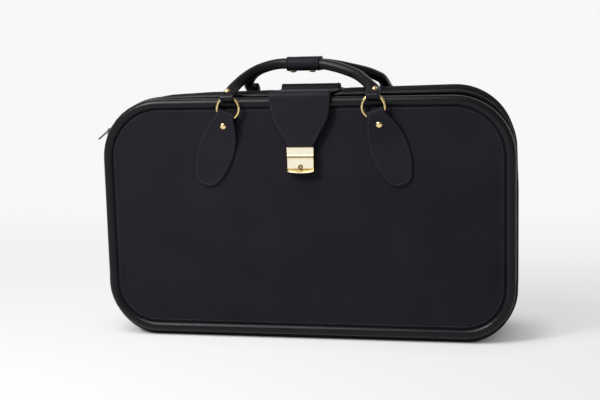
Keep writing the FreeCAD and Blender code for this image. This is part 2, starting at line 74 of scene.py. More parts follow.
# Case outline at the seam, from the stiff board that lies inside it
BOARD_LOW, BOARD_HIGH = box_mm("front_board")
BOARD_INSET = 3.0
SEAM_HALF = BOARD_HIGH.x + BOARD_INSET
BASE, TOP = BOARD_LOW.z - BOARD_INSET, BOARD_HIGH.z + BOARD_INSET
MIDDLE = (BASE + TOP) / 2
CORNER_TOP, CORNER_BASE = 78.0, 66.0
BOARD_Y = BOARD_LOW.y
PANEL_Y = box_mm("front_panel")[0].y
GUSSET_FRONT, GUSSET_BACK = (corner.y for corner in box_mm("gusset"))
BOTTOM_STEPS, SIDE_STEPS, TOP_STEPS, CORNER_STEPS = 68, 28, 64, 28

# Stitches: size and spacing, then the shape of one bead of thread
STITCH_LENGTH, STITCH_R, STITCH_PITCH = 3.0, 0.5, 4.4
STITCH_RINGS, STITCH_SIDES, STITCH_TIP, STITCH_ROUND = 4, 6, 0.12, 0.6

# Rivet heads, as shares of radius and rise from the rolled foot up
DOME = [(1.0, 0.0), (1.04, 0.12), (1.0, 0.26), (0.93, 0.36),
        (0.8, 0.6), (0.6, 0.82), (0.35, 0.95), (0.02, 1.0)]
DOME_SIDES = 28

# Piping, pleated at the corners and a little uneven
PIPING_R, PIPING_INSET, PIPING_Y, PIPING_SIDES = 6.6, 6.5, -60.4, 26
PLEAT_DEPTH, PLEAT_TURN = 0.022, 2.4
PIPING_WAVER, PIPING_WAVER_SCALE = 0.008, 0.03

# Panels, slightly crowned and uneven, with thread just inside the piping
PANEL_INSET, PANEL_RINGS, PANEL_SPACING = 12.4, 14, 1.4
PANEL_CROWN, PANEL_FLATNESS, PANEL_RIM = 0.9, 6, 6
PANEL_WAVER, PANEL_WAVER_SCALE, PANEL_WAVER_PLANE = 0.35, 0.012, 3.0
GROOVE_STITCH_INSET, GROOVE_STITCH_RISE = 16.2, 0.2

# Sides: full swell past the seam, and its share at each depth
CROWN_SIDE, CROWN_TOP, CROWN_BASE = 2.4, 7.9, 7.0
CROWN = [(-46.0, 0.35), (-25.0, 0.85), (5.0, 1.0), (38.0, 0.75), (56.6, 0.2)]
CROWN_EASE = 0.35
# The top is fuller to the right, slack at the left corner and pressed in under the flap
CROWN_LEAN, CORNER_SLACK, SLACK_START = 0.0157, 0.035, 140.0
FLAP_DENT, DENT_FADE = 4.4, 9.0
# The right side is drawn in at its shoulder, and the base settles on a broad foot
SHOULDER_PULL, SHOULDER_Z, SHOULDER_FADE = 3.2, 262.0, 75.0
FOOT_EDGE, FOOT_FADE, FOOT_LIFT = 0.3, 12.0, 0.6
GUSSET_WALL, GUSSET_STEPS, INSIDE_STEPS = 2.6, 26, 6
# Roll along the front edge of the sides
WELT_R, WELT_STEPS, WELT_START, WELT_SINK, WELT_GAP = 2.3, 8, 1.15, 0.35, 1.2

# Straps: samples across, the edge's roll and its limit as shares, and the angles round it
RIBBON_STEPS, RIBBON_ROLL, RIBBON_EDGE_LIMIT = 10, 0.6, 0.8
RIBBON_EDGE = [math.pi * (0.5 - k / 5) for k in range(1, 5)]

# Wire rings: a round with a short straight bar below
RING = Vector((94.2, -70.5, 304.7))
RING_R, WIRE_R, BAR_DROP, BAR_BEND = 14.5, 1.7, 8.5, 1.0
WIRE_SIDES, BAR_STEPS, BEND_STEPS, ROUND_STEPS = 16, 10, 8, 56
SPLAY = math.radians(19.5)

# Chapes: leaf outline as (half width, height) from the ring's middle, upright
LEAF_NECK, LEAF_WIDE, LEAF_LOW = (11.6, -10.6), (24.3, -50.0), (17.6, -94.8)
LEAF_END, LEAF_END_HALF, LEAF_SHIFT, LEAF_ARC_STEPS = -107.0, 0.25, -0.2, 24
# Their path up the panel and round the ring's bar
LEAF_MID_Y, LEAF_LIFT, LEAF_START = -64.4, -46.0, 0.02
CHAPE_THICK, CHAPE_FOLD, CHAPE_BACK_IN = 2.6, 3.2, 1.2
CHAPE_FRONT_DROP, CHAPE_BACK_DROP, CHAPE_BACK_RISE = 2.0, 10.0, 6.0
CHAPE_BENDS = [40.0, 30.0, CHAPE_FOLD * 0.98, CHAPE_FOLD * 0.98, 6.0]
CHAPE_STITCH_IN, CHAPE_STITCH_TIP, CHAPE_STITCH_STEPS = 3.2, 1.1, 60
RIVET_AT, RIVET_R, RIVET_RISE = (-1.0, -24.5), 4.0, 2.2

# Handles: drawn flat as (across, up) from the rings' eyes and leaned in to the apex
EYE = Vector((94.2, -70.5, 318.5))
APEX_Y, APEX_Z = -8.0, 358.5
LEAN = math.atan2(APEX_Z - EYE.z, APEX_Y - EYE.y)
HANDLE_UP = Vector((0, math.cos(LEAN), math.sin(LEAN)))
HANDLE_OUT = Vector((0, -math.sin(LEAN), math.cos(LEAN)))
GRIP_ARCH = [(-93.2, 6.0), (-89.2, 24.0), (-79.5, 44.5), (-65.5, 62.0), (-45.0, 73.4),
             (-24.0, 75.2), (14.0, 73.0), (34.0, 67.0), (55.0, 56.0), (70.4, 44.5),
             (83.8, 28.0), (92.7, 14.0), (94.2, 6.0)]
BACK_ARCH = [(-94.2, 6.0), (-95.6, 24.0), (-86.5, 44.5), (-70.5, 61.8), (-46.5, 73.5),
             (-24.0, 75.2), (14.0, 73.0), (34.0, 68.0), (52.0, 60.0), (72.0, 49.5),
             (84.0, 39.5), (91.4, 29.0), (94.2, 6.0)]
# Round grip that turns into a flat, squarer end, and the seam along its inside
GRIP_R, GRIP_END, GRIP_MORPH, GRIP_SQUARE = 6.9, 8.4, 26.0, 0.55
GRIP_TIP, GRIP_TIP_FADE = 0.55, 4.0
GRIP_SIDES, GRIP_STEPS = 28, 12
SEAM_SKIP, SEAM_LEG_X, SEAM_SINK = 24, 60.0, 0.1
# Tabs that fold round the rings
TAB_THICK, TAB_HALF, TAB_END, TAB_LENGTH = 8.4, 9.0, 6.0, 18.0
TAB_LEATHER, TAB_FOLD, TAB_MOUTH, TAB_SWELL = 2.6, 4.4, 4.0, 0.4
TAB_BENDS = [30.0, TAB_FOLD * 0.8, TAB_FOLD * 0.8, 30.0]
TAB_SLANT = {LEFT: 4.5, RIGHT: 1.5}
TAB_STEPS, TAB_EDGE = 6, (1.05, 0.52, 0.0, -0.52, -1.05)
TAB_RIVET_UP, TAB_RIVET_OUT, TAB_RIVET_R, TAB_RIVET_RISE = 8.8, 1.5, 3.6, 2.6

# Wrap, with the hem at each end as (in from the end, out from the sleeve)
WRAP_R, WRAP_THICK, WRAP_DIP = 9.5, 2.0, 0.7
WRAP_SIDES, WRAP_STEPS, WRAP_FLAT, WRAP_SWELL = 56, 10, 3, 0.12
WRAP_HEM = [(0.0, -0.6), (0.35, -0.1), (1.1, 0.35), (2.0, 0.4),
            (2.7, 0.05), (3.2, -0.25), (3.8, 0.0), (6.0, 0.0)]
WRAP_LIP, WRAP_LIP_RISE = 1.0, 0.3
SNAP_R, SNAP_RISE, SNAP_SINK = 4.5, 2.0, 0.1

# Flap, as (y, z) from the foot of its back over the top to the lock
FLAP_HALF, FLAP_THICK, FLAP_STITCH_IN = 39.8, 3.4, 3.4
FLAP_PATH = [(64.8, 262.0), (64.8, 288.0), (69.7, 303.0), (69.7, 319.0), (45.0, 322.6),
             (17.5, 322.6), (13.8, 330.0), (7.8, 330.0), (4.5, 323.2), (-40.0, 323.0),
             (-70.3, 324.0), (-70.3, 243.0)]
FLAP_BENDS = [20.0, 20.0, 10.0, 30.0, 2.4, 2.3, 2.3, 2.4, 60.0, 6.0]
FLAP_BEND_Y, FLAP_BEND_Z = -66.0, 313.5
# Half widths and heights of the tongue, with the curve's poles between waist and neck
WAIST_HALF, WAIST_Z, NECK_HALF, NECK_Z, TIP_HALF, TIP_Z = 38.3, 300.0, 16.8, 255.5, 16.5, 243.0
TAPER_POLES = [(37.2, 288.0), (27.9, 276.0)]
TAPER_HALVINGS = 30

# Lock profiles in (y, z), from the top back round the front to the bottom back
LOCK_HALF, HASP_HALF, KEEPER_HALF = 17.0, 17.3, 14.0
HASP_PROFILE = [(-72.2, 254.6), (-73.6, 254.6), (-74.1, 254.3), (-74.3, 253.7), (-74.3, 245.6),
                (-74.5, 245.0), (-74.8, 244.6), (-74.8, 243.0), (-74.5, 242.4), (-73.9, 242.2),
                (-72.2, 242.2)]
LOCK_PROFILE = [(-62.8, 241.8), (-73.9, 241.8), (-74.5, 241.5), (-74.7, 240.9), (-74.7, 240.2),
                (-74.4, 239.7), (-74.1, 239.3), (-74.1, 227.6), (-73.7, 226.6), (-73.6, 225.9),
                (-74.0, 225.2), (-75.0, 224.4), (-75.4, 223.8), (-75.3, 223.2), (-74.8, 222.9),
                (-62.8, 222.9)]
KEEPER_PROFILE = [(-62.8, 255.0), (-67.0, 255.0), (-67.6, 254.4), (-67.6, 252.0), (-62.8, 252.0)]
# Bow of the lock's lower lip, and its groove, painted dark with aged brass as shade
LOCK_BOW, LIP_Z, LIP_FADE = 1.9, 226.5, 3.0
GROOVE_HALF, GROOVE_LOW, GROOVE_HIGH = 16.3, 223.6, 226.6
# Largest normal along Y of a face in pale brass, a painted bright reflection, and least angle of a
# sharp edge
PAINTED_REFLECTION_FACE, LOCK_SHARP = -0.95, 10.0
# Broken ends of a metal bar, as (in from the end, drawn in)
BAR_ENDS = [(0.0, 0.7), (0.25, 0.245), (0.7, 0.0)]
BAR_SPANS = 20

# Leather hinge
HINGE_RISE, HINGE_FALL, HINGE_THICK, HINGE_STEPS = 1.9, 4.8, 1.5, 12
HINGE_BELLY, HINGE_FLOOR, HINGE_HOLD = 0.4, 0.3, 0.4

# Camera at the photograph's place and angle
CAMERA_PLACE = (0.2844, -1.4388, 0.3859)
CAMERA_TURN, CAMERA_RISE, CAMERA_ROLL = (math.radians(a) for a in (11.84, 8.135, -1.473))
CAMERA_LENS, CAMERA_SENSOR = 66.0, 36.0


# Mesh tools

def shade_smooth(mesh):
    """Smooth shading on every face."""
    mesh.polygons.foreach_set("use_smooth", [True] * len(mesh.polygons))


def new_object(name, verts, faces, material):
    """A smooth mesh object from points in millimetres."""
    mesh = bpy.data.meshes.new(name)
    mesh.from_pydata([tuple(c * MM for c in v) for v in verts], [], faces)
    mesh.validate()
    mesh.materials.append(material)
    shade_smooth(mesh)
    piece = bpy.data.objects.new(name, mesh)
    bpy.context.scene.collection.objects.link(piece)
    return piece


def sharpen(piece, degrees=25.0):
    """Keep the flat faces of a piece flat to the eye."""
    piece.data.set_sharp_from_angle(angle=math.radians(degrees))


def evenly(first, last, steps):
    """Numbers from first to last in equal steps."""
    return [first + (last - first) * k / steps for k in range(steps + 1)]


def smoothed(t):
    """Ease in and out from 0 to 1, held outside."""
    t = min(1.0, max(0.0, t))
    return t * t * (3 - 2 * t)


def loft(rings, closed_ring=True, closed_path=False, caps=False):
    """Points and faces through rings that hold equally many points."""
    count = len(rings[0])
    verts = [p for ring in rings for p in ring]
    faces = []
    rows = len(rings) if closed_path else len(rings) - 1
    columns = count if closed_ring else count - 1
    for j in range(rows):
        here, after = j * count, (j + 1) % len(rings) * count
        for i in range(columns):
            k = (i + 1) % count
            faces.append((here + i, here + k, after + k, after + i))
    if caps:
        faces.append(tuple(reversed(range(count))))
        faces.append(tuple(range((len(rings) - 1) * count, len(rings) * count)))
    return verts, faces


def flipped(part):
    """The same points with every face turned over."""
    verts, faces = part
    return verts, [tuple(reversed(face)) for face in faces]


def joined(*parts):
    """One set of points and faces from several."""
    verts, faces = [], []
    for part_verts, part_faces in parts:
        start = len(verts)
        verts += list(part_verts)
        faces += [tuple(i + start for i in face) for face in part_faces]
    return verts, faces


def mirrored(part, axis):
    """A part mirrored through the origin: axis 0 swaps left and right, 1 front and back."""
    verts, faces = part
    points = [tuple(-c if i == axis else c for i, c in enumerate(v)) for v in verts]
    return flipped((points, faces))


def placed(part, side, hand=RIGHT):
    """A part drawn for the front right, put on the given side and hand."""
    if hand == LEFT:
        part = mirrored(part, 0)
    return mirrored(part, 1) if side == BACK else part


def outline(side, top=None, base=None):
    """Closed outline of the case, grown past the seam, as (x, z, outward x, outward z) rows."""
    top = side if top is None else top
    base = side if base is None else base
    r_top, r_base = CORNER_TOP + (side + top) / 2, CORNER_BASE + (side + base) / 2
    x_top, x_base = SEAM_HALF + side - r_top, SEAM_HALF + side - r_base
    z_top, z_base = TOP + top - r_top, BASE - base + r_base
    corners = [(x_base, z_base, r_base), (x_top, z_top, r_top),
               (-x_top, z_top, r_top), (-x_base, z_base, r_base)]
    straights = [(0, -1, BOTTOM_STEPS), (1, 0, SIDE_STEPS), (0, 1, TOP_STEPS), (-1, 0, SIDE_STEPS)]
    rows = []
    for k, (nx, nz, steps) in enumerate(straights):
        for i in range(steps):
            x, z, r = (a + (b - a) * i / steps for a, b in zip(corners[k - 1], corners[k]))
            rows.append((x + r * nx, z + r * nz, nx, nz))
        x, z, r = corners[k]
        for i in range(CORNER_STEPS):
            angle = math.radians(90.0 * (k - 1 + i / CORNER_STEPS))
            nx, nz = math.cos(angle), math.sin(angle)
            rows.append((x + r * nx, z + r * nz, nx, nz))
    return rows


def bent_path(points, bends, step):
    """Points along straight runs joined by tangent arcs, about one step apart."""
    points = [Vector(p) for p in points]
    out, last = [], points[0]

    def add_run(a, b):
        count = max(1, int((b - a).length / step))
        out.extend(a.lerp(b, i / count) for i in range(count))
    for before, here, after, radius in zip(points, points[1:], points[2:], bends):
        toward, onward = (before - here).normalized(), (after - here).normalized()
        half = toward.angle(onward) / 2
        reach = radius / math.tan(half)
        first = here + toward * reach
        centre = here + (toward + onward).normalized() * (radius / math.sin(half))
        add_run(last, first)
        arm, axis = first - centre, toward.cross(onward).normalized()
        turn = math.pi - 2 * half
        count = max(2, int(radius * turn / step))
        out.extend(centre + Matrix.Rotation(-turn * i / count, 3, axis) @ arm for i in range(count))
        last = here + onward * reach
    add_run(last, points[-1])
    out.append(points[-1])
    return out


def tangents(path, closed=False):
    """Unit direction of travel at each point of a path."""
    before = [path[-1] if closed else path[0], *path[:-1]]
    after = [*path[1:], path[0] if closed else path[-1]]
    return [(b - a).normalized() for a, b in zip(before, after)]


def lengths_along(path):
    """Length of a path from its start to each of its points."""
    lengths = [0.0]
    for a, b in zip(path, path[1:]):
        lengths.append(lengths[-1] + (b - a).length)
    return lengths


def circle(radius, sides):
    """Round section."""
    angles = [TURN * i / sides for i in range(sides)]
    return [(radius * math.cos(a), radius * math.sin(a)) for a in angles]


def strap_section(half, deep, roll, steps, angles):
    """Section of a strap with rolled edges, as (across, out) pairs."""
    flat = half - roll
    face = [(x, deep) for x in evenly(-flat, flat, steps)]
    face += [(flat + roll * math.cos(a), deep * math.sin(a)) for a in angles]
    return face + [(-x, -out) for x, out in face]


def strap_out(along):
    """Outward direction of a strap that runs along a direction in the YZ plane."""
    return Vector((0, along.z, -along.y))


def ribbon(path, half_widths, middles, thick):
    """A strap along a path in the YZ plane, with its half width and middle X at each point."""
    rings = []
    for point, along, half, middle in zip(path, tangents(path), half_widths, middles):
        roll = min(thick / 2, half * RIBBON_EDGE_LIMIT) * RIBBON_ROLL
        section = strap_section(half, thick / 2, roll, RIBBON_STEPS, RIBBON_EDGE)
        out = strap_out(along)
        rings.append([point + Vector((middle + x, 0, 0)) + out * t for x, t in section])
    return loft(rings, caps=True)


def spaced(path, pitch, closed=False):
    """Evenly spaced (point, direction, share) along a path of vectors."""
    line = list(path) + ([path[0]] if closed else [])
    lengths = lengths_along(line)
    total = lengths[-1]
    count = max(2, int(round(total / pitch)))
    result, j = [], 0
    for i in range(count):
        target = total * (i + 0.5) / count
        while lengths[j + 1] < target:
            j += 1
        a, b = line[j], line[j + 1]
        share = (target - lengths[j]) / (lengths[j + 1] - lengths[j])
        result.append((a.lerp(b, share), (b - a).normalized(), target / total))
    return result


def bead(centre, along, out):
    """A closed bead of thread that lies along a line."""
    across = out.cross(along).normalized()
    out = along.cross(across)
    loops = []
    for j in range(STITCH_RINGS + 1):
        t = j / STITCH_RINGS * math.pi
        middle = centre + along * (-math.cos(t) * STITCH_LENGTH / 2)
        girth = max(math.sin(t), STITCH_TIP) ** STITCH_ROUND * STITCH_R
        loops.append([middle + across * a + out * b for a, b in circle(girth, STITCH_SIDES)])
    return loft(loops, caps=True)


def stitch_row(path, normal_at, closed=False):
    """Beads of thread along a path; normal_at(share) points out of the surface."""
    beads = []
    for point, along, share in spaced(path, STITCH_PITCH, closed):
        out = normal_at(share)
        beads.append(bead(point + out * STITCH_R * 0.5, along, out))
    return joined(*beads)


def dome(foot, out, radius, rise):
    """A rivet head with a rolled foot."""
    side = out.orthogonal().normalized()
    other = out.cross(side)
    rings = []
    for wide, high in DOME:
        middle = foot + out * (rise * high)
        rings.append([middle + side * a + other * b for a, b in circle(radius * wide, DOME_SIDES)])
    return loft(rings, caps=True)


# Materials

def new_material(name):
    """A node material, its tree and its main shader."""
    made = bpy.data.materials.new(name)
    made.use_nodes = True
    return made, made.node_tree, made.node_tree.nodes["Principled BSDF"]


def texture(tree, kind, scale):
    """A texture node on the piece's own coordinates, in cycles per metre."""
    node = tree.nodes.new(kind)
    coords = tree.nodes.new("ShaderNodeTexCoord")
    tree.links.new(coords.outputs["Object"], node.inputs["Vector"])
    node.inputs["Scale"].default_value = scale
    return node


def noise_value(tree, scale, detail):
    """Value of a noise texture."""
    node = texture(tree, "ShaderNodeTexNoise", scale)
    node.inputs["Detail"].default_value = detail
    return node.outputs["Fac"]


def ramp(tree, source, low, high, start=0.0, end=1.0):
    """Colour between two colours, fed by a value."""
    node = tree.nodes.new("ShaderNodeValToRGB")
    first, last = node.color_ramp.elements
    first.position, last.position = start, end
    first.color, last.color = low, high
    tree.links.new(source, node.inputs["Fac"])
    return node.outputs["Color"]


def bump(tree, height, strength, distance, normal=None):
    """Normal bumped by a height value, on top of another normal if given."""
    node = tree.nodes.new("ShaderNodeBump")
    node.inputs["Strength"].default_value = strength
    node.inputs["Distance"].default_value = distance
    tree.links.new(height, node.inputs["Height"])
    if normal is not None:
        tree.links.new(normal, node.inputs["Normal"])
    return node.outputs["Normal"]


def combined(tree, operation, *values):
    """Result of a math node on numbers or values from other nodes."""
    node = tree.nodes.new("ShaderNodeMath")
    node.operation = operation
    for value, socket in zip(values, node.inputs):
        if isinstance(value, float):
            socket.default_value = value
        else:
            tree.links.new(value, socket)
    return node.outputs["Value"]


def linked(made, sources):
    """The material, with values from other nodes on its main shader's inputs."""
    tree = made.node_tree
    for name, source in sources.items():
        tree.links.new(source, tree.nodes["Principled BSDF"].inputs[name])
    return made


def grey(value, tint=(1, 1, 1)):
    """A colour of the given brightness and tint."""
    return (value * tint[0], value * tint[1], value * tint[2], 1)


def leather(name, dark, light, rough, shine, grain=1300.0, depth=0.00012):
    """Black leather: fine pebble grain, soft cloudy tone and uneven gloss."""
    made, tree, shader = new_material(name)
    violet = (1.0, 0.92, 1.2)
    shader.inputs["Specular IOR Level"].default_value = shine
    cloud = noise_value(tree, 14.0, 4.0)
    tone = ramp(tree, cloud, grey(dark, violet), grey(light, violet), 0.3, 0.7)
    patches = noise_value(tree, 60.0, 6.0)
    gloss = ramp(tree, patches, grey(rough - 0.06), grey(rough + 0.08), 0.3, 0.7)
    pebbles = texture(tree, "ShaderNodeTexVoronoi", grain).outputs["Distance"]
    creases = noise_value(tree, 180.0, 5.0)
    normal = bump(tree, pebbles, strength=0.35, distance=depth)
    normal = bump(tree, creases, strength=0.25, distance=0.0005, normal=normal)
    return linked(made, {"Base Color": tone, "Roughness": gloss, "Normal": normal})


def metal(name, colour, dark, rough):
    """Polished metal with faint tarnish and fine scratches."""
    made, tree, shader = new_material(name)
    shader.inputs["Metallic"].default_value = 1.0
    tarnish = noise_value(tree, 120.0, 6.0)
    tone = ramp(tree, tarnish, (*dark, 1), (*colour, 1), 0.3, 0.6)
    smears = noise_value(tree, 340.0, 5.0)
    gloss = ramp(tree, smears, grey(rough - 0.05), grey(rough + 0.1), 0.3, 0.75)
    normal = bump(tree, noise_value(tree, 2200.0, 3.0), strength=0.15, distance=0.00002)
    return linked(made, {"Base Color": tone, "Roughness": gloss, "Normal": normal})


def cloth(name, dark, light, threads):
    """Plain woven cloth with crossing threads."""
    made, tree, shader = new_material(name)
    shader.inputs["Roughness"].default_value = 0.85
    waves = []
    for direction in ("X", "Z"):
        wave = texture(tree, "ShaderNodeTexWave", threads)
        wave.bands_direction = direction
        waves.append(wave.outputs["Fac"])
    weave = combined(tree, "MAXIMUM", *waves)
    tone = ramp(tree, weave, (*dark, 1), (*light, 1))
    normal = bump(tree, weave, strength=0.5, distance=0.0002)
    return linked(made, {"Base Color": tone, "Normal": normal})


def fibre_board():
    """Pressed fibre board with flecks."""
    made, tree, shader = new_material("fibre_board")
    shader.inputs["Roughness"].default_value = 0.9
    flecks = noise_value(tree, 500.0, 8.0)
    tone = ramp(tree, flecks, (0.16, 0.11, 0.07, 1), (0.34, 0.26, 0.17, 1), 0.3, 0.7)
    normal = bump(tree, flecks, strength=0.3, distance=0.0003)
    return linked(made, {"Base Color": tone, "Normal": normal})


PANEL_LEATHER = leather("panel_leather", 0.0105, 0.0135, 0.6, 0.05)
SIDE_LEATHER = leather("side_leather", 0.0072, 0.0095, 0.86, 0.03)
ROLL_LEATHER = leather("roll_leather", 0.0056, 0.0076, 0.33, 0.17, grain=1700.0, depth=0.00006)
STRAP_LEATHER = leather("strap_leather", 0.0112, 0.0143, 0.48, 0.07, grain=1500.0)
THREAD = leather("black_thread", 0.026, 0.040, 0.45, 0.2, grain=4000.0)
BRASS = metal("polished_brass", (0.92, 0.72, 0.35), (0.84, 0.60, 0.24), 0.14)
# Paler brass for the lock's front faces, a painted bright reflection
LOCK_BRASS_PAINTED_REFLECTION = metal("lock_brass_painted_reflection", (1.0, 0.94, 0.76), (0.98, 0.88, 0.64), 0.09)
# Dark aged brass for the key plug and studs, also painted as shade into the lock's groove
OLD_BRASS_AND_GROOVE_SHADE = metal("aged_brass_and_painted_groove_shade", (0.30, 0.22, 0.085), (0.20, 0.145, 0.055), 0.4)
ZIP_METAL = metal("dark_zip_metal", (0.13, 0.118, 0.096), (0.08, 0.072, 0.058), 0.36)
STEEL = metal("plain_steel", (0.6, 0.6, 0.62), (0.45, 0.45, 0.46), 0.3)
LINING = cloth("lining_cloth", (0.03, 0.028, 0.03), (0.085, 0.08, 0.082), 900.0)
TAPE = cloth("zip_tape_cloth", (0.014, 0.014, 0.016), (0.034, 0.034, 0.037), 1400.0)
BOARD = fibre_board()


# Frame nodes that stay

def finish_nodes():
    """Materials of the frame's own nodes."""
    looks = {"board": BOARD, "lining": LINING, "zip_tape": TAPE, "zip_teeth": ZIP_METAL,
             "zip_metal": ZIP_METAL, "brass": BRASS, "steel": STEEL, "black_leather": STRAP_LEATHER}
    for part in frame["record"]["subparts"]:
        node = frame["nodes"][part["node"]]
        look = OLD_BRASS_AND_GROOVE_SHADE if part["node"] == "key_plug" else looks[part["material_slot"]]
        node.data.materials.clear()
        node.data.materials.append(look)
        shade_smooth(node.data)
        sharpen(node)


# Front and back walls

def piping_shape():
    """Rolled edge with a flat back and faint pleats round the corners."""
    rings = []
    for i, (x, z, nx, nz) in enumerate(outline(-PIPING_INSET)):
        corner = min(abs(nx), abs(nz)) * 2
        waver = PIPING_WAVER * noise.noise(Vector((x, z, 0)) * PIPING_WAVER_SCALE)
        pleat = 1 + corner * PLEAT_DEPTH * math.sin(i * PLEAT_TURN) + waver
        ring = []
        for out, back in circle(PIPING_R * pleat, PIPING_SIDES):
            ring.append((x + nx * out, min(PIPING_Y + back, BOARD_Y), z + nz * out))
        rings.append(ring)
    return loft(rings, closed_path=True)


def panel_height(x, z):
    """How far the panel swells off its board at a place."""
    across, up = x / SEAM_HALF, (z - MIDDLE) / (TOP - MIDDLE)
    swell = max(0.0, 1 - across ** PANEL_FLATNESS) * max(0.0, 1 - up ** PANEL_FLATNESS)
    waver = noise.noise(Vector((x, z, PANEL_WAVER_PLANE)) * PANEL_WAVER_SCALE)
    return PANEL_CROWN * swell + PANEL_WAVER * waver


def panel_shape():
    """Leather face: a flat back, an edge, and rings drawn in to a line along the middle."""
    rows = outline(-PANEL_INSET)
    reach = SEAM_HALF - (TOP - BASE) / 2
    rings = [[(x, BOARD_Y, z) for x, z, _, _ in rows]]
    for j in range(PANEL_RINGS + 1):
        t = (j / PANEL_RINGS) ** PANEL_SPACING
        rise = min(1, t * PANEL_RIM)
        ring = []
        for x, z, _, _ in rows:
            px = x + (max(-reach, min(reach, x)) - x) * t
            pz = z + (MIDDLE - z) * t
            ring.append((px, PANEL_Y - panel_height(px, pz) * rise, pz))
        rings.append(ring)
    verts, faces = loft(rings)
    faces.append(tuple(reversed(range(len(rows)))))
    return flipped((verts, faces))


def groove_stitches():
    """Thread round the panel, just inside the piping."""
    path = []
    for x, z, _, _ in outline(-GROOVE_STITCH_INSET):
        path.append(Vector((x, PANEL_Y - panel_height(x, z) * GROOVE_STITCH_RISE, z)))
    return stitch_row(path, lambda share: FORWARD, closed=True)


def build_walls():
    """Panel, piping and stitching of the front leaf and of the back."""
    for side, word, body in WALLS:
        panel = new_object(word + "_panel_face", *placed(panel_shape(), side), PANEL_LEATHER)
        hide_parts(word + "_panel")
        roll = new_object(word + "_piping_roll", *placed(piping_shape(), side), ROLL_LEATHER)
        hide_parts(word + "_piping")
        thread = new_object(word + "_panel_stitches", *placed(groove_stitches(), side), THREAD)
        for piece in (panel, roll, thread):
            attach(piece, body)


# Sides

def crown_at(y):
    """Share of the full swell at a depth, on a smooth curve through the stations."""
    if y <= CROWN[0][0]:
        return CROWN[0][1]
    for (y0, f0), (y1, f1) in zip(CROWN, CROWN[1:]):
        if y <= y1:
            t = (y - y0) / (y1 - y0)
            return f0 + (f1 - f0) * (smoothed(t) * CROWN_EASE + t * (1 - CROWN_EASE))
    return CROWN[-1][1]


def base_at(y):
    """Share of the full swell underneath, where the soft case settles on its foot."""
    edge = min(1.0, max(0.0, (GUSSET_BACK - abs(y)) / FOOT_FADE))
    return FOOT_EDGE + (1 - FOOT_EDGE) * edge * (2 - edge)


def top_change(x):
    """How much the top's swell differs from even at a place."""
    slack = CORNER_SLACK * max(0.0, -x - SLACK_START)
    under_flap = smoothed((FLAP_HALF + DENT_FADE - abs(x)) / DENT_FADE)
    return CROWN_LEAN * x - slack - FLAP_DENT * under_flap


def side_change(x, z):
    """How much the sides' swell differs from even at a place."""
    return -SHOULDER_PULL * smoothed(1 - abs(z - SHOULDER_Z) / SHOULDER_FADE) if x > 0 else 0.0


def crown_row(y, inset):
    """Outline of the crowned side at a depth, drawn in by inset and flat underneath."""
    share = crown_at(y)
    floor = max(0.0, inset * FOOT_LIFT)
    side, top, base = share * CROWN_SIDE, share * CROWN_TOP, base_at(y) * CROWN_BASE
    row = []
    for x, z, nx, nz in outline(side - inset, top - inset, base - inset):
        px = x + share * side_change(x, z) * max(0.0, nx)
        pz = z + share * top_change(x) * max(0.0, nz)
        row.append((px, y, max(pz, floor)))
    return row


def gusset_shape():
    """Side leather: a rolled front edge, the crowned outside, and the inside back to the front."""
    rings = []
    for share in evenly(WELT_START, WELT_START - 1, WELT_STEPS):
        a = math.pi * share
        y = GUSSET_FRONT + WELT_R * (1 + math.cos(a))
        rings.append(crown_row(y, WELT_R * (WELT_SINK - math.sin(a))))
    start = GUSSET_FRONT + 2 * WELT_R + WELT_GAP
    for y in evenly(start, GUSSET_BACK, GUSSET_STEPS):
        rings.append(crown_row(y, 0.0))
    for y in evenly(GUSSET_BACK, GUSSET_FRONT + WELT_R, INSIDE_STEPS):
        rings.append(crown_row(y, GUSSET_WALL))
    return loft(rings, closed_path=True)


def build_sides():
    """Crowned side leather, glossier on the roll along its front edge."""
    side = new_object("side_leather", *gusset_shape(), SIDE_LEATHER)
    side.data.materials.append(ROLL_LEATHER)
    for face in side.data.polygons[:WELT_STEPS * len(outline(0.0))]:
        face.material_index = 1
    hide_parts("gusset")
    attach(side, "case")


# Leather hinge

def build_hinge():
    """Leather strip up to the zip's ends, drawn with a belly that sags underneath."""
    low, high = box_mm("hinge_leather")
    y0, y1 = low.y, high.y
    depths = evenly(y0, y1, HINGE_STEPS)
    section = [(0.0, y) for y in depths] + [(-HINGE_THICK, y) for y in reversed(depths)]

    def belly(y):
        share = (y - y0) / (y1 - y0)
        return HINGE_FALL * math.sin(math.pi / 2 * min(1.0, share / HINGE_BELLY))
    rows = outline(HINGE_RISE)
    start = len(rows) - CORNER_STEPS - SIDE_STEPS
    ordered = rows[start:] + rows[:BOTTOM_STEPS + CORNER_STEPS + SIDE_STEPS]
    rings = []
    for x, z, nx, nz in [row for row in ordered if row[1] < high.z]:
        ring = []
        for out, y in section:
            height = z + nz * out - belly(y) * max(0.0, -nz)
            ring.append((x + nx * out, y, max(height, HINGE_FLOOR)))
        rings.append(ring)
    strip = new_object("hinge_strip", *loft(rings, caps=True), PANEL_LEATHER)
    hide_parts("hinge_leather")
    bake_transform(strip)


# Chapes and rings

def arc_points(start, middle, end):
    """Points of the arc through three (x, z) points."""
    a, b, c = Vector(start), Vector(middle), Vector(end)
    aa, bb, cc = a.length_squared, b.length_squared, c.length_squared
    d = 2 * (a.x * (b.y - c.y) + b.x * (c.y - a.y) + c.x * (a.y - b.y))
    centre = Vector(((aa * (b.y - c.y) + bb * (c.y - a.y) + cc * (a.y - b.y)) / d,
                     (aa * (c.x - b.x) + bb * (a.x - c.x) + cc * (b.x - a.x)) / d))
    radius = (a - centre).length
    first, second, third = (math.atan2(p.y - centre.y, p.x - centre.x) for p in (a, b, c))
    sweep = (third - first) % TURN
    if (second - first) % TURN > sweep:
        sweep -= TURN
    angles = evenly(first, first + sweep, LEAF_ARC_STEPS)
    return [centre + Vector((math.cos(t), math.sin(t))) * radius for t in angles]


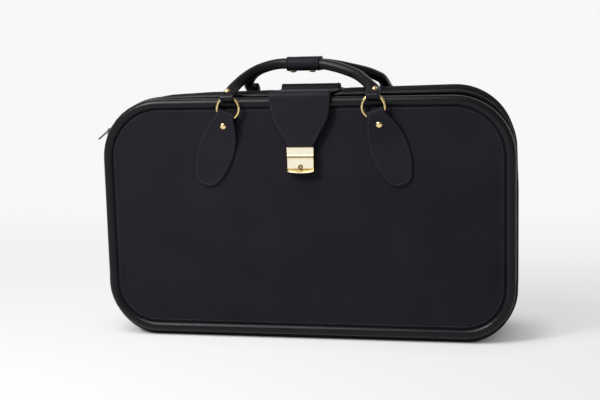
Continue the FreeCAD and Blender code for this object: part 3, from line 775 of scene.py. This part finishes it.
def across_at(line, z):
    """X of a polyline of (x, z) points at a height, held at its ends."""
    points = sorted(line, key=lambda p: p.y)
    if z <= points[0].y:
        return points[0].x
    for a, b in zip(points, points[1:]):
        if z <= b.y:
            return a.x + (b.x - a.x) * (z - a.y) / max(b.y - a.y, 1e-6)
    return points[-1].x


def splayed(part):
    """A part drawn upright about the front right ring, turned outward and put in place."""
    turn = Matrix.Rotation(-SPLAY, 3, "Y")
    verts, faces = part
    return [RING + turn @ Vector(v) for v in verts], faces


def chape_sides():
    """Left and right edge of an upright chape, as polylines of (across, up) from the tip."""
    def at(hand, place):
        return hand * place[0] + LEAF_SHIFT, place[1]
    tip = arc_points(at(LEFT, LEAF_LOW), (LEAF_SHIFT, LEAF_END), at(RIGHT, LEAF_LOW))
    middle = LEAF_ARC_STEPS // 2
    inner_neck = (-LEAF_NECK[0], LEAF_NECK[1])
    inner = tip[:middle + 1] + arc_points(at(LEFT, LEAF_LOW), at(LEFT, LEAF_WIDE), inner_neck)
    outer = tip[middle:] + arc_points(at(RIGHT, LEAF_LOW), at(RIGHT, LEAF_WIDE), LEAF_NECK)
    return inner, outer


def chape_path():
    """A chape's middle line, up the panel, round the ring's bar and back, with its crest's index."""
    flat, crest = LEAF_MID_Y - RING.y, CHAPE_FOLD - BAR_DROP
    corners = [(flat, LEAF_END + LEAF_START), (flat, LEAF_LIFT),
               (-CHAPE_FOLD, -BAR_DROP - CHAPE_FRONT_DROP), (-CHAPE_FOLD, crest), (CHAPE_FOLD, crest),
               (CHAPE_FOLD, -BAR_DROP - CHAPE_BACK_DROP), (flat, LEAF_LIFT + CHAPE_BACK_RISE)]
    path = bent_path([(0, y, z) for y, z in corners], CHAPE_BENDS, step=0.9)
    return path, max(range(len(path)), key=lambda i: path[i].z)


def chape_shape():
    """Leaf-shaped leather that holds a ring, narrower where it returns behind."""
    inner, outer = chape_sides()
    path, crest = chape_path()
    halves, middles = [], []
    for i, point in enumerate(path):
        behind = i > crest
        z = max(point.z, LEAF_NECK[1]) if behind else point.z
        left, right = across_at(inner, z), across_at(outer, z)
        half = max((right - left) / 2, LEAF_END_HALF)
        halves.append(half - CHAPE_BACK_IN if behind else half)
        middles.append((left + right) / 2)
    return splayed(ribbon(path, halves, middles, CHAPE_THICK))


def chape_stitches():
    """Thread just inside the edge of the leaf."""
    inner, outer = chape_sides()
    path, crest = chape_path()
    face = [p for p in path[:crest] if p.z <= LEAF_NECK[1]]
    low = LEAF_END + CHAPE_STITCH_IN * CHAPE_STITCH_TIP

    def on_face(x, z):
        near = min(face, key=lambda p: abs(p.z - z))
        return Vector((x, near.y - CHAPE_THICK / 2, z))
    left, right = [], []
    for z in evenly(low, LEAF_NECK[1], CHAPE_STITCH_STEPS):
        left.append(on_face(across_at(inner, z) + CHAPE_STITCH_IN, z))
        right.append(on_face(across_at(outer, z) - CHAPE_STITCH_IN, z))
    while left[0].x > right[0].x:
        left, right = left[1:], right[1:]
    return splayed(stitch_row(left[::-1] + right, lambda share: FORWARD))


def rivet_on_chape():
    """Domed rivet on the sloped neck of the front right chape."""
    path, crest = chape_path()
    across, up = RIVET_AT
    near = min(range(crest), key=lambda i: abs(path[i].z - up))
    along = (path[near + 1] - path[near - 1]).normalized()
    out = -strap_out(along)
    foot = path[near] + Vector((across, 0, 0)) + out * CHAPE_THICK / 2
    return splayed(dome(foot, out, RIVET_R, RIVET_RISE))


def ring_path():
    """Middle line of an upright ring: a short bar, two small bends and the round."""
    bend_x = math.sqrt((RING_R - BAR_BEND) ** 2 - (BAR_DROP - BAR_BEND) ** 2)
    bend_z = BAR_BEND - BAR_DROP
    touch = math.atan2(bend_z, bend_x)
    quarter = math.pi / 2
    path = [Vector((x, 0, -BAR_DROP)) for x in evenly(-bend_x, bend_x, BAR_STEPS)[:-1]]

    def arc(x, z, radius, start, end, steps):
        for a in evenly(start, end, steps)[:-1]:
            path.append(Vector((x + radius * math.cos(a), 0, z + radius * math.sin(a))))
    arc(bend_x, bend_z, BAR_BEND, -quarter, touch, BEND_STEPS)
    arc(0, 0, RING_R, touch, math.pi - touch, ROUND_STEPS)
    arc(-bend_x, bend_z, BAR_BEND, math.pi - touch, math.pi + quarter, BEND_STEPS)
    return path


def ring_shape():
    """Wire ring that the handle hangs on."""
    path = ring_path()
    rings = []
    for point, along in zip(path, tangents(path, closed=True)):
        across = BACKWARD.cross(along)
        rings.append([point + across * a + BACKWARD * b for a, b in circle(WIRE_R, WIRE_SIDES)])
    return splayed(loft(rings, closed_path=True))


# Handles

def leaned(x, up, out=0.0):
    """Point of the front handle from its flat drawing."""
    return Vector((x, EYE.y, EYE.z)) + HANDLE_UP * up + HANDLE_OUT * out


def grip_path(points):
    """Middle line of a handle's roll: one smooth arch through its points."""
    arch = [Vector(p) for p in points]
    padded = [arch[0] * 2 - arch[1], *arch, arch[-1] * 2 - arch[-2]]
    line = []
    for a, b, c, d in zip(padded, padded[1:], padded[2:], padded[3:]):
        for i in range(GRIP_STEPS):
            t = i / GRIP_STEPS
            square = (2 * a - 5 * b + 4 * c - d) * t ** 2
            cube = (3 * b - a - 3 * c + d) * t ** 3
            line.append(0.5 * (2 * b + (c - a) * t + square + cube))
    return [leaned(p.x, p.y) for p in line + [arch[-1]]]


def grip_shape(path):
    """Rolled grip that flattens towards both ends."""
    lengths = lengths_along(path)
    rings = []
    for point, along, length in zip(path, tangents(path), lengths):
        near = min(length, lengths[-1] - length)
        t = smoothed(near / GRIP_MORPH)
        close = min(1.0, GRIP_TIP + near / GRIP_TIP_FADE)
        wide = (GRIP_END + (GRIP_R - GRIP_END) * t) * close
        deep = (TAB_THICK / 2 + (GRIP_R - TAB_THICK / 2) * t) * close
        power = GRIP_SQUARE + (1 - GRIP_SQUARE) * t
        across = HANDLE_OUT.cross(along).normalized()
        out = along.cross(across)
        ring = []
        for c, s in circle(1, GRIP_SIDES):
            x, y = math.copysign(abs(c) ** power, c), math.copysign(abs(s) ** power, s)
            ring.append(point + across * (wide * x) + out * (deep * y))
        rings.append(ring)
    return loft(rings, caps=True)


def tab_shape(hand):
    """Flat strap end that folds round the ring."""
    half = (TAB_THICK - TAB_LEATHER) / 2
    wide = half + TAB_SWELL
    face = [(TAB_LENGTH, half), (TAB_MOUTH, wide), (-TAB_FOLD, wide)]
    corners = face + [(up, -out) for up, out in reversed(face)]
    drawn = bent_path([(0, up, out) for up, out in corners], TAB_BENDS, step=0.8)
    deep = TAB_LEATHER / 2
    rings = []
    for point, along in zip(drawn, tangents(drawn)):
        normal = -strap_out(along)
        share = min(1.0, max(0.0, point.y / TAB_LENGTH))
        half_width = TAB_HALF + (TAB_END - TAB_HALF) * share ** 2
        middle = hand * (EYE.x - TAB_SLANT[hand] * share)
        ring = []
        for x, t in strap_section(half_width, deep, deep, TAB_STEPS, TAB_EDGE):
            ring.append(leaned(middle + x, point.y + normal.y * t, point.z + normal.z * t))
        rings.append(ring)
    return loft(rings, caps=True)


def rivet_on_tab():
    """Domed rivet on the right tab of the front handle."""
    foot = leaned(EYE.x + TAB_RIVET_OUT, TAB_RIVET_UP, TAB_THICK / 2)
    return dome(foot, HANDLE_OUT, TAB_RIVET_R, TAB_RIVET_RISE)


def handle_seam(path):
    """Thread of the seam along the inside of the grip."""
    line, inwards = [], []
    for point, along in zip(path, tangents(path)):
        inward = HANDLE_OUT.cross(along).normalized()
        if inward.dot(HANDLE_UP) >= 0 and abs(point.x) <= SEAM_LEG_X:
            inward = -inward
        line.append(point + inward * (GRIP_R - SEAM_SINK))
        inwards.append(inward)
    line, inwards = line[SEAM_SKIP:-SEAM_SKIP], inwards[SEAM_SKIP:-SEAM_SKIP]
    return stitch_row(line, lambda share: inwards[min(len(inwards) - 1, int(share * len(inwards)))])


def build_carrying():
    """Roll handles of both sides, and the chapes, rings and rivets that hold them."""
    for side, word, body in WALLS:
        path = grip_path(GRIP_ARCH if side == FRONT else BACK_ARCH)
        grip = new_object(word + "_grip", *placed(grip_shape(path), side), ROLL_LEATHER)
        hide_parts(word + "_handle")
        pair = joined(tab_shape(LEFT), tab_shape(RIGHT))
        tabs = new_object(word + "_grip_tabs", *placed(pair, side), ROLL_LEATHER)
        seam = new_object(word + "_grip_seam", *placed(handle_seam(path), side), THREAD)
        for piece in (grip, tabs, seam):
            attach(piece, word + "_handle")
        heads = (("tab", "handle", rivet_on_tab(), word + "_handle"),
                 ("leaf", "chape", rivet_on_chape(), body))
        for place, held, rivet, carrier in heads:
            pair = joined(rivet, mirrored(rivet, 0))
            rivets = new_object(f"{word}_{place}_rivets", *placed(pair, side), BRASS)
            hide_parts(f"{word}_{held}_rivets")
            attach(rivets, carrier)
        for hand, turn in ((LEFT, "left"), (RIGHT, "right")):
            leaf = new_object(f"{word}_leaf_{turn}", *placed(chape_shape(), side, hand), STRAP_LEATHER)
            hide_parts(f"{word}_chape_{turn}")
            sewn = placed(chape_stitches(), side, hand)
            thread = new_object(f"{word}_leaf_stitches_{turn}", *sewn, THREAD)
            for piece in (leaf, thread):
                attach(piece, body)
            wire = new_object(f"{word}_wire_ring_{turn}", *placed(ring_shape(), side, hand), BRASS)
            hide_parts(f"{word}_ring_{turn}")
            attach(wire, word + "_rings")


# Wrap round both grips

def stadium_ring(x, radius):
    """Closed ring round both grips, drawn in a little between them."""
    points = []
    for c, s in circle(1, WRAP_SIDES):
        y = radius * c + math.copysign(-APEX_Y, c) * min(1.0, abs(c) * WRAP_FLAT)
        z = radius * s
        dip = WRAP_DIP * max(0.0, 1 - (y / APEX_Y) ** 2)
        points.append((x, y, APEX_Z + z - math.copysign(dip, z)))
    return points


def wrap_shape():
    """Leather sleeve with a turned hem at each end."""
    x0, x1 = (corner.x for corner in box_mm("handle_wrap"))
    inside = WRAP_R - WRAP_THICK
    rows = [(x0 + x, WRAP_R + rise) for x, rise in WRAP_HEM]
    for k in range(2, WRAP_STEPS - 1):
        swell = WRAP_SWELL * math.sin(math.pi * k / WRAP_STEPS)
        rows.append((x0 + (x1 - x0) * k / WRAP_STEPS, WRAP_R + swell))
    rows += [(x1 - x, WRAP_R + rise) for x, rise in reversed(WRAP_HEM)]
    rows += [(x1, inside + WRAP_LIP_RISE), (x1 - WRAP_LIP, inside)]
    rows += [(x0 + WRAP_LIP, inside), (x0, inside + WRAP_LIP_RISE)]
    return flipped(loft([stadium_ring(x, radius) for x, radius in rows], closed_path=True))


def build_wrap():
    """Sleeve that ties the grips, and its press studs."""
    sleeve = new_object("grip_sleeve", *wrap_shape(), STRAP_LEATHER)
    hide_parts("handle_wrap")
    low, high = box_mm("wrap_snaps")
    studs = []
    for x in (low.x + SNAP_R, high.x - SNAP_R):
        foot = Vector((x, APEX_Y, APEX_Z - WRAP_R + SNAP_SINK))
        studs.append(dome(foot, Vector((0, 0, -1)), SNAP_R, SNAP_RISE))
    snaps = new_object("sleeve_studs", *joined(*studs), OLD_BRASS_AND_GROOVE_SHADE)
    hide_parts("wrap_snaps")
    for piece in (sleeve, snaps):
        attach(piece, "front_handle")


# Flap and lock

def flap_half(z):
    """Half width of the tongue at a height."""
    if z >= WAIST_Z:
        share = min(1.0, (z - WAIST_Z) / (FLAP_BEND_Z - WAIST_Z))
        return WAIST_HALF + (FLAP_HALF - WAIST_HALF) * share
    if z <= NECK_Z:
        share = max(0.0, (z - TIP_Z) / (NECK_Z - TIP_Z))
        return TIP_HALF + (NECK_HALF - TIP_HALF) * share
    low, high = 0.0, 1.0
    poles = [(WAIST_HALF, WAIST_Z), *TAPER_POLES, (NECK_HALF, NECK_Z)]

    def bezier(t, axis):
        u = 1 - t
        weights = (u ** 3, 3 * u * u * t, 3 * u * t * t, t ** 3)
        return sum(w * p[axis] for w, p in zip(weights, poles))
    for _ in range(TAPER_HALVINGS):
        t = (low + high) / 2
        low, high = (t, high) if bezier(t, 1) > z else (low, t)
    return bezier((low + high) / 2, 0)


def flap_stitches(path, halves):
    """Thread along both edges of the flap and across the foot of its back."""
    normals = [strap_out(along) for along in tangents(path)]

    def normal_at(share):
        return normals[min(len(path) - 1, int(share * len(path)))]
    rows = []
    for hand in (LEFT, RIGHT):
        line = []
        for point, out, half in zip(path, normals, halves):
            across = Vector((hand * (half - FLAP_STITCH_IN), 0, 0))
            line.append(point + across + out * FLAP_THICK / 2)
        rows.append(stitch_row(line, normal_at))
    foot = path[0] + Vector((0, FLAP_THICK / 2, FLAP_STITCH_IN))
    across = Vector((FLAP_HALF - FLAP_STITCH_IN, 0, 0))
    rows.append(stitch_row([foot - across, foot + across], lambda share: BACKWARD))
    return joined(*rows)


def build_flap():
    """Flap leather in one piece, drawn bent from the foot of its back over the top and down into the
    tongue, with its stitching.
    """
    path = bent_path([(0, y, z) for y, z in FLAP_PATH], FLAP_BENDS, step=1.6)
    halves = [flap_half(p.z) if p.y < FLAP_BEND_Y else FLAP_HALF for p in path]
    shape = ribbon(path, halves, [0.0] * len(path), FLAP_THICK)
    strap = new_object("flap_leather", *shape, STRAP_LEATHER)
    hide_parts("flap_strap", "flap_tongue")
    thread = new_object("flap_stitches", *flap_stitches(path, halves), THREAD)
    for piece in (strap, thread):
        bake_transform(piece)


def bar_shape(profile, half, bow=None):
    """A metal bar along X with a (y, z) profile and broken ends; bow(x, z) lowers points."""
    centre_y = sum(p[0] for p in profile) / len(profile)
    centre_z = sum(p[1] for p in profile) / len(profile)
    flat = half - BAR_ENDS[-1][0]
    end = [(half - inward, draw) for inward, draw in BAR_ENDS]
    stations = [(-x, draw) for x, draw in end]
    stations += [(x, 0.0) for x in evenly(-flat, flat, BAR_SPANS)[1:-1]]
    stations += reversed(end)
    rings = []
    for x, draw in stations:
        ring = []
        for y, z in profile:
            off = Vector((y - centre_y, z - centre_z))
            off = off * (1 - draw / max(off.length, 1.0))
            drop = bow(x, z) if bow else 0.0
            ring.append((x, centre_y + off.x, centre_z + off.y - drop))
        rings.append(ring)
    return loft(rings, caps=True)


def lip_bow(x, z):
    """How far the lock's lower lip bows down at a place."""
    return LOCK_BOW * (1 - (x / LOCK_HALF) ** 2) * min(1.0, max(0.0, (LIP_Z - z) / LIP_FADE))


def build_lock():
    """Brass hasp plate and lock case, paler in front as a painted reflection; the plug, bolt and
    staple stay as they are.
    """
    hasp = new_object("hasp_cover", *bar_shape(HASP_PROFILE, HASP_HALF), LOCK_BRASS_PAINTED_REFLECTION)
    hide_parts("hasp_plate")
    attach(hasp, "flap")
    case = bar_shape(LOCK_PROFILE, LOCK_HALF, lip_bow)
    keeper = bar_shape(KEEPER_PROFILE, KEEPER_HALF)
    body = new_object("lock_body", *joined(case, keeper), LOCK_BRASS_PAINTED_REFLECTION)
    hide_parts("lock_case")
    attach(body, "front")
    for piece in (hasp, body):
        piece.data.materials.append(BRASS)
        piece.data.materials.append(OLD_BRASS_AND_GROOVE_SHADE)
        # Faces turned to the front keep the pale brass as a painted reflection, the others take plain
        # brass
        for face in piece.data.polygons:
            x, z = face.center.x / MM, face.center.z / MM
            # The groove's faces take the dark aged brass as painted shade
            if abs(x) < GROOVE_HALF and GROOVE_LOW < z < GROOVE_HIGH:
                face.material_index = 2
            elif face.normal.y >= PAINTED_REFLECTION_FACE:
                face.material_index = 1
        sharpen(piece, LOCK_SHARP)


# Stage, light and camera

def seen_directly(tree):
    """1 where a camera, mirror or glass ray arrives, 0 where only light does."""
    rays = tree.nodes.new("ShaderNodeLightPath").outputs
    seen = combined(tree, "MAXIMUM", rays["Is Camera Ray"], rays["Is Glossy Ray"])
    return combined(tree, "MAXIMUM", seen, rays["Is Transmission Ray"])


def studio_white():
    """Matt white that keeps shadows and, where it is seen, glows more with distance along Y.

    The glow fades close to the case, so that the contact shadow stays dark.
    """
    made, tree, shader = new_material("studio_white")
    shader.inputs["Base Color"].default_value = (0.77, 0.77, 0.78, 1)
    shader.inputs["Roughness"].default_value = 0.9
    coords = tree.nodes.new("ShaderNodeTexCoord")
    axes = tree.nodes.new("ShaderNodeSeparateXYZ")
    tree.links.new(coords.outputs["Object"], axes.inputs["Vector"])
    away = combined(tree, "ADD", axes.outputs["Y"], 0.4)
    depth = tree.nodes.new("ShaderNodeMapRange")
    depth.interpolation_type = "SMOOTHSTEP"
    tree.links.new(combined(tree, "ABSOLUTE", away), depth.inputs["Value"])
    for name, value in (("From Min", 0.0), ("From Max", 1.6), ("To Min", 0.58), ("To Max", 0.97)):
        depth.inputs[name].default_value = value
    nook = tree.nodes.new("ShaderNodeAmbientOcclusion")
    nook.inputs["Distance"].default_value = 0.07
    share = combined(tree, "MULTIPLY", seen_directly(tree), depth.outputs["Result"])
    share = combined(tree, "MULTIPLY", share, nook.outputs["AO"])
    glow = tree.nodes.new("ShaderNodeEmission")
    glow.inputs["Color"].default_value = (0.955, 0.957, 0.965, 1)
    mix = tree.nodes.new("ShaderNodeMixShader")
    tree.links.new(share, mix.inputs["Fac"])
    tree.links.new(shader.outputs["BSDF"], mix.inputs[1])
    tree.links.new(glow.outputs["Emission"], mix.inputs[2])
    tree.links.new(mix.outputs["Shader"], tree.nodes["Material Output"].inputs["Surface"])
    return made


def build_stage():
    """Wide white floor that rises into a backdrop, drawn in metres."""
    half, near, far, bend, height, steps = 40.0, -40.0, 5.0, 2.0, 8.0, 12
    profile = [(near, 0.0), (far - bend, 0.0)]
    for a in evenly(0.0, math.pi / 2, steps)[1:]:
        profile.append((far - bend + bend * math.sin(a), bend - bend * math.cos(a)))
    profile.append((far, height))
    rings = [[(x / MM, y / MM, z / MM) for y, z in profile] for x in (-half, half)]
    floor = new_object("studio_floor", *loft(rings, closed_ring=False), studio_white())


def area_light(name, place, target, size, power):
    """A soft square lamp at place, turned to target, in metres and watts."""
    data = bpy.data.lights.new(name, "AREA")
    data.energy, data.size = power, size
    lamp = bpy.data.objects.new(name, data)
    bpy.context.scene.collection.objects.link(lamp)
    lamp.location = place
    lamp.rotation_euler = (Vector(target) - Vector(place)).to_track_quat("-Z", "Y").to_euler()


def build_light():
    """Key lamp from the upper left, a broader one above the front, and an even pale surround."""
    area_light("key", place=(-1.0, -1.25, 1.35), target=(0, 0, 0.2), size=0.36, power=27)
    area_light("top", place=(-0.35, -0.6, 1.25), target=(0, 0, 0.3), size=0.7, power=11.2)
    world = bpy.data.worlds.new("surround")
    bpy.context.scene.world = world
    world.use_nodes = True
    surround = world.node_tree.nodes["Background"]
    surround.inputs["Color"].default_value = (1, 1, 1, 1)
    surround.inputs["Strength"].default_value = 0.2


def build_camera():
    """Camera turned about the case, raised and rolled a little."""
    data = bpy.data.cameras.new("camera")
    data.lens, data.sensor_width, data.sensor_fit = CAMERA_LENS, CAMERA_SENSOR, "HORIZONTAL"
    camera = bpy.data.objects.new("camera", data)
    bpy.context.scene.collection.objects.link(camera)
    turn = Matrix.Rotation(CAMERA_TURN, 4, "Z")
    tilt = Matrix.Rotation(math.pi / 2 - CAMERA_RISE, 4, "X")
    roll = Matrix.Rotation(CAMERA_ROLL, 4, "Z")
    camera.matrix_world = Matrix.Translation(CAMERA_PLACE) @ turn @ tilt @ roll
    bpy.context.scene.camera = camera


finish_nodes()
build_walls()
build_sides()
build_hinge()
build_carrying()
build_wrap()
build_flap()
build_lock()
build_stage()
build_light()
build_camera()
bpy.context.scene.view_settings.view_transform = "Standard"
